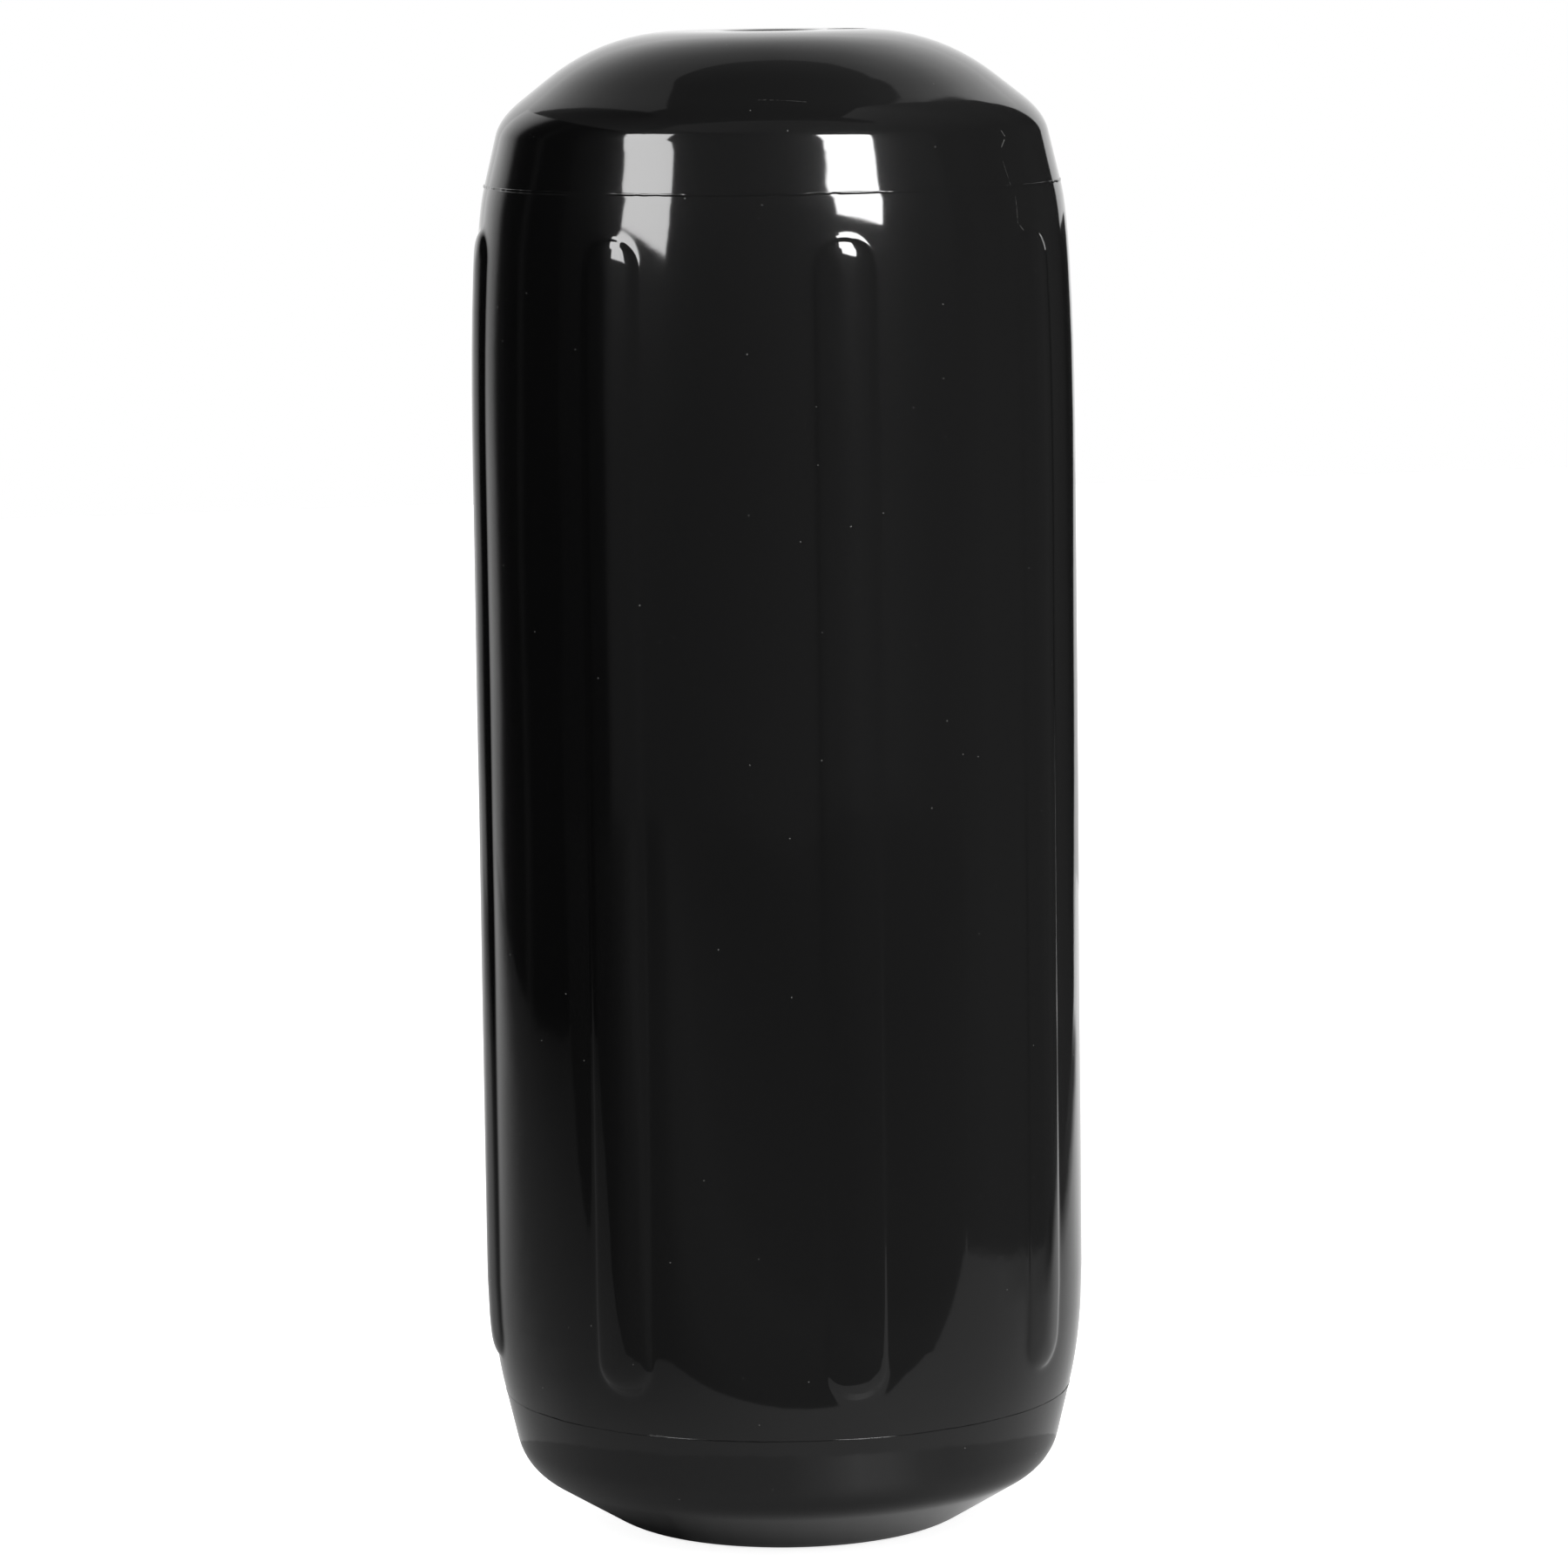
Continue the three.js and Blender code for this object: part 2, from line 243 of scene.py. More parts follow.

# The floor round the foot as a painted reflection, with the fender's contact shadow painted in: what the
# room gives, with bearings in degrees from the camera, then a painted crescent of light that grows towards
# the right, and a painted streak of light
FOOT_FLOOR_HEIGHT = 0.0008
FOOT_RINGS = (0.045, 0.145, 13)
FOOT_TURNS = (-180, 180, 37)
FOOT_DARK_REACH = (0.0523, 0.112)
FOOT_ROOM = 0.25
FOOT_ROOM_RIGHT_GAIN = 0.165
FOOT_ROOM_RIGHT_TURN = (-90, 40)
FOOT_ROOM_BACK_GAIN = 0.14
FOOT_ROOM_BACK_TURN = (100, 160)
CRESCENT_LEVEL = 0.60
CRESCENT_TURN = (-41, 98)
CRESCENT_RING = 0.0705
CRESCENT_WIDTH = 0.0135
STREAK_LEVEL = 0.36
STREAK_TURN = 23
STREAK_WIDTH = 13
STREAK_REACH = (0.092, 0.131)

FLOOR_REACH = 4.0
FLOOR_GLOSS_LIFT = 0.3


def length(name, default, description, least=0.0):
    """A size in metres that a user may change."""
    return FloatProperty(
        name=name, description=description, default=default, min=least,
        precision=5, step=0.1, subtype="DISTANCE", unit="LENGTH",
    )


def share(name, default, description, most=1.0):
    """A plain number from nothing to a stated most."""
    return FloatProperty(
        name=name, description=description, default=default, min=0.0, max=most, precision=4,
    )


def colour(name, default, description):
    return FloatVectorProperty(
        name=name, description=description, default=default, size=3, min=0.0, max=1.0, subtype="COLOR",
    )


class BodySizes(bpy.types.PropertyGroup):
    """Sizes of the moulded body."""

    body_length: length("Length", body_high.z - body_low.z, "From one flat end to the other")
    barrel_diameter: length("Barrel diameter", 0.203, "Across the barrel between its ribs")
    end_face_diameter: length("End face diameter", 0.111, "Where the flat end and the cone would meet")
    draft: FloatProperty(
        name="Collar draft", description="Lean of the collars towards the ends",
        default=math.radians(13.7), min=0.01, max=0.7, subtype="ANGLE", unit="ROTATION",
    )
    seam_drop: length("Seam drop", 0.0045, "How far the parting line lies inside the barrel's radius")
    top_cone_depth: length("Top cone depth", 0.0283, "From the top face down to the cone's edge")
    top_seam_depth: length("Top seam depth", 0.051, "From the top face down to the parting line")
    top_shoulder_length: length("Top shoulder length", 0.1, "From the parting line to the full barrel")
    top_face_blend: length("Top face blend", 0.025, "Reach of the soft corner round the top face")
    top_edge_rise: length("Top edge rise", 0.0092, "Reach of the cone's soft edge up the cone")
    top_edge_blend: length("Top edge blend", 0.006, "Reach of the cone's soft edge down the collar")
    bottom_cone_depth: length("Bottom cone depth", 0.0212, "From the bottom face up to the cone's edge")
    bottom_seam_depth: length("Bottom seam depth", 0.0465, "From the bottom face up to the parting line")
    bottom_shoulder_length: length("Bottom shoulder length", 0.045, "From the parting line to the barrel")
    bottom_face_blend: length("Bottom face blend", 0.007, "Reach of the soft corner round the face")
    bottom_edge_rise: length("Bottom edge rise", 0.009, "Reach of the cone's soft edge along the cone")
    bottom_edge_blend: length("Bottom edge blend", 0.009, "Reach of the cone's soft edge up the collar")
    tube_bore: length("Tube bore", 0.022, "Inside diameter of the rope tube")
    tube_mouth_radius: length("Tube mouth radius", 0.007, "Rounding where the tube meets a flat end")
    rib_count: IntProperty(name="Ribs", description="Ribs round the barrel", default=8, min=1, max=24)
    rib_width: length("Rib width", 0.0264, "Across a rib from foot to foot")
    rib_steep_width: length("Rib steep width", 0.0198, "Across a rib between its steepest lines")
    rib_height: length("Rib height", 0.0017, "How far a rib stands out of the barrel")
    rib_steepness: share("Rib steepness", 0.45, "Slope of a rib's flank where it is steepest", 2.0)
    rib_foot_reach: length("Rib foot reach", 0.0008, "How fast the slope fades towards the foot")
    rib_crown_reach: length("Rib crown reach", 0.0013, "How fast the slope fades towards the crown")
    rib_end_gap: length("Rib end gap", 0.011, "From a parting line to the nearest rib tip")
    wave_depth: length("Wave depth", 0.00022, "Depth of the slow waves in the vinyl")
    vinyl_colour: colour("Vinyl colour", (0.0018, 0.0018, 0.0019), "Colour of the moulded vinyl")


class FlashSizes(bpy.types.PropertyGroup):
    """Sizes of the thin flash at the parting lines."""

    flash_width: length("Flash width", 0.0011, "Across the flash")
    flash_height: length("Flash height", 0.00036, "How far the flash stands out at most")
    flash_root: length("Flash root", 0.0006, "How deep the flash is rooted in the body")
    flash_wander: length("Flash wander", 0.00018, "How far the flash strays up and down")


class ValveSizes(bpy.types.PropertyGroup):
    """Sizes of the needle valve."""

    head_diameter: length("Head diameter", valve_high.x - valve_low.x, "Across the valve's round head")
    head_thickness: length("Head thickness", 0.0018, "Thickness of the head")
    head_rounding: length("Head rounding", 0.0006, "Rounding of the head's rim")
    stem_diameter: length("Stem diameter", 0.0084, "Across the stem in the socket")
    tip_chamfer: length("Tip chamfer", 0.0012, "Chamfer at the stem's end")
    needle_hole_diameter: length("Needle hole", 0.0018, "Across the hole for the pump's needle")
    needle_hole_depth: length("Needle hole depth", 0.0085, "Depth of the hole for the pump's needle")
    funnel_diameter: length("Funnel diameter", 0.0046, "Across the funnel that guides the needle")
    funnel_depth: length("Funnel depth", 0.0011, "Depth of the funnel that guides the needle")
    seat_gap: length("Seat gap", 0.0003, "Gap between the valve and its socket")
    rubber_colour: colour("Rubber colour", (0.012, 0.012, 0.0125), "Colour of the valve's rubber")


class StudioLook(bpy.types.PropertyGroup):
    """Levels of the studio's lights and surfaces."""

    left_softbox: share("Left softbox", 11.5, "Brightness of the left softbox's face", 100.0)
    right_softbox: share("Right softbox", 25.0, "Brightness of the right softbox's face", 100.0)
    left_lamp: share("Left lamp", 7.0, "Power in watts that the left softbox throws on colours", 500.0)
    right_lamp: share("Right lamp", 9.0, "Power in watts that the right softbox throws on colours", 500.0)
    room_light: share("Room light", 0.5, "Soft light from all round the room")
    # The level of the grey room's painted reflection
    room_grey: share("Room grey", WALL_GREY, "Brightness of the grey room in front of the fender")
    floor_colour: colour("Floor colour", (0.8, 0.8, 0.8), "Colour of the floor")
    floor_lift: share("Floor lift", 0.84, "Light added to the floor in the picture's background")


class FenderSettings(bpy.types.PropertyGroup):
    """Everything that a user may change on the fender and round it."""

    body: PointerProperty(type=BodySizes, name="Body", description="Sizes of the moulded body")
    flash: PointerProperty(type=FlashSizes, name="Flash", description="Sizes of the flash")
    valve: PointerProperty(type=ValveSizes, name="Valve", description="Sizes of the needle valve")
    studio: PointerProperty(type=StudioLook, name="Studio", description="Levels of the studio")


# Outlines, as radius and height

def softened(before, corner, after, first_reach, last_reach):
    """Points of a soft corner that leaves each side at a stated distance from the corner."""
    before, corner, after = (np.array(point, float) for point in (before, corner, after))
    start = corner + (before - corner) * first_reach / np.linalg.norm(before - corner)
    end = corner + (after - corner) * last_reach / np.linalg.norm(after - corner)
    t = np.linspace(0, 1, BLEND_STEPS + 1)[:, None]
    return (1 - t) ** 2 * start + 2 * t * (1 - t) * corner + t ** 2 * end


def arc(centre, radius, first, last, steps):
    """Points of an arc, with its angles in degrees."""
    angles = np.radians(np.linspace(first, last, steps + 1))
    return np.array(centre) + radius * np.column_stack([np.cos(angles), np.sin(angles)])


def straight(start, end, steps):
    return np.linspace(start, end, steps + 1)


def without_doubles(points):
    kept = [points[0]]
    for point in points[1:]:
        if np.linalg.norm(point - kept[-1]) > SAME_POINT:
            kept.append(point)
    return np.array(kept)


def end_outline(body, end):
    """One end's radius and depth, from the tube's wall out to the parting line."""
    cone_depth, seam_depth, face_blend, edge_rise, edge_blend = (
        getattr(body, f"{end}_{size}")
        for size in ("cone_depth", "seam_depth", "face_blend", "edge_rise", "edge_blend"))
    bore, rounding = body.tube_bore / 2, body.tube_mouth_radius
    seam_radius = body.barrel_diameter / 2 - body.seam_drop
    face_inner = np.array([bore + rounding, 0.0])
    face_rim = np.array([body.end_face_diameter / 2, 0.0])
    edge = np.array([seam_radius - (seam_depth - cone_depth) * math.tan(body.draft), cone_depth])
    seam = np.array([seam_radius, seam_depth])
    face_corner = softened(face_inner, face_rim, edge, face_blend, face_blend)
    edge_corner = softened(face_rim, edge, seam, edge_rise, edge_blend)
    return without_doubles(np.vstack([
        arc((bore + rounding, rounding), rounding, 180, 270, MOUTH_STEPS),
        straight(face_inner, face_corner[0], CONE_STEPS),
        face_corner,
        straight(face_corner[-1], edge_corner[0], CONE_STEPS),
        edge_corner,
        straight(edge_corner[-1], seam, COLLAR_STEPS),
    ]))


def shoulder_radius(body, end, depth, flash_width):
    """Radius at a depth beyond one end's parting line, along the shoulder and the barrel."""
    barrel = body.barrel_diameter / 2
    seam = np.array([barrel - body.seam_drop, getattr(body, f"{end}_seam_depth")])
    bend = np.array([barrel, seam[1] + body.seam_drop / math.tan(body.draft)])
    start = seam + (bend - seam) * flash_width / 2 / np.linalg.norm(bend - seam)
    last_depth = seam[1] + getattr(body, f"{end}_shoulder_length")
    depth = np.asarray(depth, float)
    a = start[1] - 2 * bend[1] + last_depth
    b = 2 * (bend[1] - start[1])
    reach = np.clip(depth, start[1], last_depth) - start[1]
    t = 2 * reach / (b + np.sqrt(b * b + 4 * a * reach))
    curved = barrel - (1 - t) ** 2 * (barrel - start[0])
    slope = (start[0] - seam[0]) / (start[1] - seam[1])
    return np.where(depth < start[1], seam[0] + (depth - seam[1]) * slope, curved)


def side_radius(body, z, flash_width):
    """Radius of the plain side between the two parting lines."""
    z = np.asarray(z, float)
    low = shoulder_radius(body, "bottom", z, flash_width)
    high = shoulder_radius(body, "top", body.body_length - z, flash_width)
    return np.minimum(low, high)


def rib_spine(body):
    """Lowest and highest centre of a rib's round ends."""
    low = body.bottom_seam_depth + body.rib_end_gap + body.rib_width / 2
    high = body.body_length - body.top_seam_depth - body.rib_end_gap - body.rib_width / 2
    return low, high


def side_heights(body):
    """Heights of the rings along the side, closest together at the rib ends."""
    low_seam = body.bottom_seam_depth
    high_seam = body.body_length - body.top_seam_depth
    low_tip = low_seam + body.rib_end_gap - RIB_END_ROW
    high_tip = high_seam - body.rib_end_gap + RIB_END_ROW
    stops = [
        (low_seam, low_tip, SHOULDER_ROW),
        (low_tip, low_tip + RIB_TIP_REACH, RIB_TIP_ROW),
        (low_tip + RIB_TIP_REACH, low_tip + RIB_END_REACH, RIB_END_ROW),
        (low_tip + RIB_END_REACH, high_tip - RIB_END_REACH, BARREL_ROW),
        (high_tip - RIB_END_REACH, high_tip - RIB_TIP_REACH, RIB_END_ROW),
        (high_tip - RIB_TIP_REACH, high_tip, RIB_TIP_ROW),
        (high_tip, high_seam, SHOULDER_ROW),
    ]
    runs = [np.linspace(a, b, math.ceil((b - a) / row) + 1)[:-1] for a, b, row in stops]
    return np.concatenate(runs)[1:]


def graded(near, far, count, growth):
    """Places from near to far, closest together at near, without near itself."""
    steps = growth ** np.arange(count)
    return near + (far - near) * np.cumsum(steps) / steps.sum()


def rib_columns(body):
    """Angles of the columns of one rib's sector, from its middle, and each one's distance across."""
    half_pitch = math.pi * body.barrel_diameter / 2 / body.rib_count
    steep = body.rib_steep_width / 2
    right = np.concatenate([
        graded(steep, 0, CROWN_COLUMNS, CROWN_GROWTH)[::-1],
        [steep],
        graded(steep, half_pitch, VALLEY_COLUMNS, VALLEY_GROWTH),
    ])
    across = np.concatenate([-right[:0:-1], right[:-1]])
    return across / (body.barrel_diameter / 2), across


def strayed(angle):
    """Angles round the barrel, moved to where the soft body carries its ribs a little out of place."""
    even = np.linspace(0, math.tau, len(RIB_STRAYS) + 1)
    strays = np.radians(RIB_STRAYS + RIB_STRAYS[:1])
    return angle + np.interp(np.mod(angle, math.tau), even, strays)


def rib_section(body, reach, slope, crown_reach, dome):
    """Height of a rib's section at a reach from its middle line, over a foot that fades out."""
    steep = body.rib_steep_width / 2
    inside = np.maximum(0, steep - reach)
    outside = np.maximum(0, reach - steep)
    lift = slope * body.rib_foot_reach * np.exp(-outside / body.rib_foot_reach)
    lift = lift + slope * crown_reach * (1 - np.exp(-inside / crown_reach))
    lift = lift + dome * (1 + np.cos(math.pi * np.minimum(reach / steep, 1))) / 2
    return lift * np.clip((body.rib_width / 2 + RIB_END_ROW - reach) / (2 * RIB_END_ROW), 0, 1)


def rib_lift(body, across, z):
    """How far the ribs stand out: firm flanks along the sides, and a long soft fall at each end."""
    low, high = rib_spine(body)
    beyond = np.maximum(0, np.maximum(low - z, z - high))
    reach = np.hypot(across, beyond)
    flank_rise = body.rib_steepness * (body.rib_foot_reach + body.rib_crown_reach)
    dome = body.rib_height - flank_rise
    flank = rib_section(body, reach, body.rib_steepness, body.rib_crown_reach, dome)
    end_slope = body.rib_steepness * RIB_END_STEEPNESS
    end_reach = body.rib_height / end_slope - body.rib_foot_reach
    end = rib_section(body, reach, end_slope, end_reach, 0)
    sideways = np.abs(across) / np.maximum(reach, 1e-9)
    share_of_end = np.where(beyond > 0, 1 - sideways ** 4, 0)
    return flank + (end - flank) * share_of_end


def cooling_waves(body, angle, z):
    """Slow hollows of the vinyl's surface, gone at the flat ends."""
    swell = np.full(np.broadcast(angle, z).shape, -1.0)
    for turns, wave, lean, depth, start in COOLING_WAVES:
        swell += depth * np.sin(turns * angle + math.tau * z / wave + start + lean * np.sin(2 * angle))
    edge = np.minimum(z, body.body_length - z)
    return body.wave_depth * swell * np.clip(edge / body.bottom_seam_depth, 0, 1) ** 2


# Meshes

def mesh_object(name, mesh, material=None):
    piece = bpy.data.objects.new(name, mesh)
    bpy.context.collection.objects.link(piece)
    if material:
        mesh.materials.append(material)
    return piece


def smooth(mesh):
    mesh.polygons.foreach_set("use_smooth", [True] * len(mesh.polygons))
    mesh.set_sharp_from_angle(angle=SHARP_ANGLE)


def grid_mesh(name, rings):
    """A closed skin over rings of points, joined round each ring and from the last ring to the first."""
    count, columns = rings.shape[:2]
    mesh = bpy.data.meshes.new(name)
    faces = []
    for ring in range(count):
        above = (ring + 1) % count
        for column in range(columns):
            beside = (column + 1) % columns
            faces.append((ring * columns + column, ring * columns + beside,
                          above * columns + beside, above * columns + column))
    mesh.from_pydata(rings.reshape(-1, 3).tolist(), [], faces)
    smooth(mesh)
    return mesh


def lathe_mesh(name, outline):
    """A closed turned form, from an outline that starts and ends on the axis."""
    turns = np.linspace(0, math.tau, LATHE_SEGMENTS, endpoint=False)
    points = [(0, 0, outline[0][1])]
    for radius, z in outline[1:-1]:
        points += [(radius * math.cos(turn), radius * math.sin(turn), z) for turn in turns]
    points.append((0, 0, outline[-1][1]))
    tip = len(points) - 1
    faces = []
    for column in range(LATHE_SEGMENTS):
        beside = (column + 1) % LATHE_SEGMENTS
        faces.append((0, 1 + beside, 1 + column))
        for low in range(1, tip - LATHE_SEGMENTS, LATHE_SEGMENTS):
            high = low + LATHE_SEGMENTS
            faces.append((low + column, low + beside, high + beside, high + column))
        faces.append((tip - LATHE_SEGMENTS + column, tip - LATHE_SEGMENTS + beside, tip))
    mesh = bpy.data.meshes.new(name)
    mesh.from_pydata(points, [], faces)
    smooth(mesh)
    return mesh


def body_rings(body, flash_width):
    """Every ring of the body, up the outside and back down the tube."""
    bottom = end_outline(body, "bottom")
    top = end_outline(body, "top")[::-1] * (1, -1) + (0, body.body_length)
    heights = side_heights(body)
    side = np.column_stack([side_radius(body, heights, flash_width), heights])
    tube = straight(top[-1], bottom[0], TUBE_ROWS)[1:-1]
    outline = np.vstack([bottom, side, top, tube])
    turn, across = rib_columns(body)
    pitch = math.tau / body.rib_count
    even = np.concatenate([turn + rib * pitch for rib in range(body.rib_count)])
    angle = strayed(even) - math.pi / 2
    across = np.tile(across, body.rib_count)
    radius, z = outline[:, :1], outline[:, 1:]
    on_side = (z > body.bottom_seam_depth) & (z < body.body_length - body.top_seam_depth)
    outside = radius > body.end_face_diameter / 4
    shares = np.repeat(np.resize(RIB_SHARES, body.rib_count), len(turn))
    reach = radius + np.where(on_side & outside, shares * rib_lift(body, across, z), 0)
    reach = reach + np.where(outside, cooling_waves(body, angle, z), 0)
    return np.stack([reach * np.cos(angle), reach * np.sin(angle), np.broadcast_to(z, reach.shape)], -1)


def socket_outline(valve):
    """The hole that the valve sits in, a seat gap larger than the valve all round."""
    gap = valve.seat_gap
    head, stem = valve.head_diameter / 2 + gap, valve.stem_diameter / 2 + gap
    shelf = valve_high.z - valve.head_thickness - gap
    floor = valve_low.z - gap
    above = valve_high.z + valve.head_thickness
    return [(0, floor), (stem, floor), (stem, shelf), (head, shelf), (head, above), (0, above)]


def valve_outline(valve):
    """The valve's section, from the stem's end up over the head and down the needle hole."""
    head, stem = valve.head_diameter / 2, valve.stem_diameter / 2
    rounding, top, bottom = valve.head_rounding, valve_high.z, valve_low.z
    hole = valve.needle_hole_diameter / 2
    rim = arc((head - rounding, top - rounding), rounding, 0, 90, VALVE_RIM_STEPS).tolist()
    return [
        (0, bottom),
        (stem - valve.tip_chamfer, bottom),
        (stem, bottom + valve.tip_chamfer),
        (stem, top - valve.head_thickness),
        (head, top - valve.head_thickness),
        *rim,
        (valve.funnel_diameter / 2, top),
        (hole, top - valve.funnel_depth),
        (hole, top - valve.needle_hole_depth),
        (0, top - valve.needle_hole_depth),
    ]


def cut(piece, cutter):
    """Cuts one closed form out of a piece, and throws the cutter away."""
    cutting = piece.modifiers.new("socket", "BOOLEAN")
    cutting.operation = "DIFFERENCE"
    cutting.solver = "EXACT"
    cutting.object = cutter
    bpy.context.view_layer.update()
    evaluated = piece.evaluated_get(bpy.context.evaluated_depsgraph_get())
    result = bpy.data.meshes.new_from_object(evaluated)
    piece.modifiers.clear()
    piece.data = result
    bpy.data.objects.remove(cutter)


def flash_rings(body, flash, end):
    """A thin uneven bead that runs round the body at one parting line."""
    depth = getattr(body, f"{end}_seam_depth")
    seam_z = depth if end == "bottom" else body.body_length - depth
    seam_radius = body.barrel_diameter / 2 - body.seam_drop
    angle = np.linspace(0, math.tau, FLASH_COLUMNS, endpoint=False)
    fineness, seed = FLASH_ENDS[end]
    random = np.random.default_rng(seed)
    height = FLASH_MEAN_HEIGHT + chance_runs(random, FLASH_HEIGHT_RUNS)
    height = fineness * flash.flash_height * np.clip(height, FLASH_LEAST_HEIGHT, 1)
    half_width = fineness * flash.flash_width / 2
    drift = flash.flash_wander * chance_runs(random, FLASH_DRIFT_RUNS)
    swell = cooling_waves(body, angle, np.full(angle.shape, seam_z))
    bead = np.radians(np.linspace(180, 0, FLASH_BEAD_POINTS))
    rings = []
    for across, out in zip(np.cos(bead), np.sin(bead)):
        rings.append((seam_radius + swell + height * out, seam_z + drift + across * half_width))
    rings.append((seam_radius + swell - flash.flash_root, seam_z + drift + half_width))
    rings.append((seam_radius + swell - flash.flash_root, seam_z + drift - half_width))
    return np.array([np.column_stack([r * np.cos(angle), r * np.sin(angle), z]) for r, z in rings])


def wandering(random, bends):
    """A smooth closed run of chance values about nought, with a number of bends round the ring."""
    knots = random.uniform(-1, 1, bends)
    at = np.linspace(0, bends, FLASH_COLUMNS, endpoint=False)
    first = at.astype(int)
    blend = (1 - np.cos((at - first) * math.pi)) / 2
    return knots[first % bends] * (1 - blend) + knots[(first + 1) % bends] * blend


def chance_runs(random, runs):
    """Several runs of chance values added up, each by its part of the whole."""
    return sum(part * wandering(random, bends) for part, bends in runs)


# Shader node groups

class NodeWriter:
    """Adds nodes to a tree, with each input given as a value or as another node's output."""

    def __init__(self, tree):
        self.tree = tree

    def add(self, kind, inputs=None, **settings):
        node = self.tree.nodes.new(kind)
        for name, value in settings.items():
            setattr(node, name, value)
        for key, value in (inputs or {}).items():
            if isinstance(value, bpy.types.NodeSocket):
                self.tree.links.new(value, node.inputs[key])
            else:
                node.inputs[key].default_value = value
        return node

    def math(self, operation, first, second=0.0, clamp=False):
        node = self.add("ShaderNodeMath", {0: first, 1: second}, operation=operation, use_clamp=clamp)
        return node.outputs[0]

    def vector(self, operation, first, second=(0, 0, 0), output=0):
        return self.add("ShaderNodeVectorMath", {0: first, 1: second}, operation=operation).outputs[output]

    def ramp(self, value, low, high, bottom=0.0, top=1.0):
        node = self.add("ShaderNodeMapRange", {"Value": value, "From Min": low, "From Max": high,
                                               "To Min": bottom, "To Max": top},
                        interpolation_type="SMOOTHSTEP")
        return node.outputs["Result"]

    def mixed(self, factor, first, second, into):
        """Feeds a colour socket with a mix of two colours."""
        node = self.add("ShaderNodeMix", {0: factor, 6: (*first, 1), 7: (*second, 1)}, data_type="RGBA")
        self.tree.links.new(node.outputs[2], into)

    def noise(self, place, scale, detail=2.0, roughness=0.5):
        node = self.add("ShaderNodeTexNoise", {"Vector": place, "Scale": scale, "Detail": detail,
                                               "Roughness": roughness})
        return node.outputs["Fac"]


def shader_group(name, points, numbers, result):
    """A new node group that works out one number, with a writer for its nodes and its own sockets."""
    tree = bpy.data.node_groups.new(name, "ShaderNodeTree")
    for kind, labels in (("NodeSocketVector", points), ("NodeSocketFloat", numbers)):
        for label in labels:
            tree.interface.new_socket(label, in_out="INPUT", socket_type=kind)
    tree.interface.new_socket(result, in_out="OUTPUT", socket_type="NodeSocketFloat")
    given = tree.nodes.new("NodeGroupInput").outputs
    return tree, NodeWriter(tree), given, tree.nodes.new("NodeGroupOutput").inputs[0]


def moulded_surface_group():
    """Ripple and grain that a mould leaves in soft plastic, as a height in metres."""
    tree, write, given, result = shader_group(
        "moulded_surface", ["Place"], ["Ripple Size", "Ripple Height", "Grain Size", "Grain Height"],
        "Height")
    ripple_scale = write.math("DIVIDE", 1.0, given["Ripple Size"])
    grain_scale = write.math("DIVIDE", 1.0, given["Grain Size"])
    ripple = write.noise(given["Place"], ripple_scale, roughness=0.45)
    grain = write.noise(given["Place"], grain_scale, roughness=0.6)
    total = write.math("ADD", write.math("MULTIPLY", ripple, given["Ripple Height"]),
                       write.math("MULTIPLY", grain, given["Grain Height"]))
    tree.links.new(total, result)
    return tree


def dust_group():
    """A few fine specks of dust, as a mask."""
    tree, write, given, result = shader_group(
        "dust_specks", ["Place"], ["Spacing", "Speck Size", "Share"], "Mask")
    cells = write.add("ShaderNodeTexVoronoi",
                      {"Vector": given["Place"], "Scale": write.math("DIVIDE", 1.0, given["Spacing"])},
                      feature="F1")
    reach = write.math("MULTIPLY", cells.outputs["Distance"], given["Spacing"])
    speck = write.math("LESS_THAN", reach, given["Speck Size"])
    chance = write.add("ShaderNodeSeparateColor", {"Color": cells.outputs["Color"]}).outputs[0]
    kept = write.math("LESS_THAN", chance, given["Share"])
    tree.links.new(write.math("MULTIPLY", speck, kept), result)
    return tree


def scratch_group():
    """One broken hairline scratch between two points, as a mask."""
    tree, write, given, result = shader_group(
        "hairline_scratch", ["Place", "Start", "End"], ["Half Width"], "Mask")
    run = write.vector("SUBTRACT", given["End"], given["Start"])
    reach = write.vector("SUBTRACT", given["Place"], given["Start"])
    along = write.math("DIVIDE", write.vector("DOT_PRODUCT", reach, run, output=1),
                       write.vector("DOT_PRODUCT", run, run, output=1), clamp=True)
    nearest = write.add("ShaderNodeVectorMath", {0: run, "Scale": along}, operation="SCALE").outputs[0]
    away = write.vector("LENGTH", write.vector("SUBTRACT", reach, nearest), output=1)
    half = given["Half Width"]
    line = write.math("SUBTRACT", 1.0, write.ramp(away, write.math("MULTIPLY", half, 0.4), half))
    broken = write.ramp(write.noise(given["Place"], scale=900.0, detail=1.0), low=0.38, high=0.52)
    tree.links.new(write.math("MULTIPLY", line, broken), result)
    return tree


def handling_group():
    """Faint rub marks and haze from handling, as a roughness."""
    tree, write, given, result = shader_group(
        "handling_haze", ["Place"], ["Smooth", "Rubbed"], "Roughness")
    patches = write.noise(given["Place"], scale=9.0, detail=3.0, roughness=0.55)
    stretched = write.add("ShaderNodeMapping", {"Vector": given["Place"], "Scale": (60.0, 60.0, 7.0)})
    streaks = write.noise(stretched.outputs[0], scale=1.0, detail=3.0, roughness=0.6)
    mask = write.math("MULTIPLY", write.ramp(patches, low=0.52, high=0.78),
                      write.ramp(streaks, low=0.56, high=0.74))
    rise = write.math("SUBTRACT", given["Rubbed"], given["Smooth"])
    level = write.math("ADD", given["Smooth"], write.math("MULTIPLY", mask, rise))
    tree.links.new(level, result)
    return tree


GROUP_MAKERS = {
    "moulded_surface": moulded_surface_group,
    "dust_specks": dust_group,
    "hairline_scratch": scratch_group,
    "handling_haze": handling_group,
}


# Materials

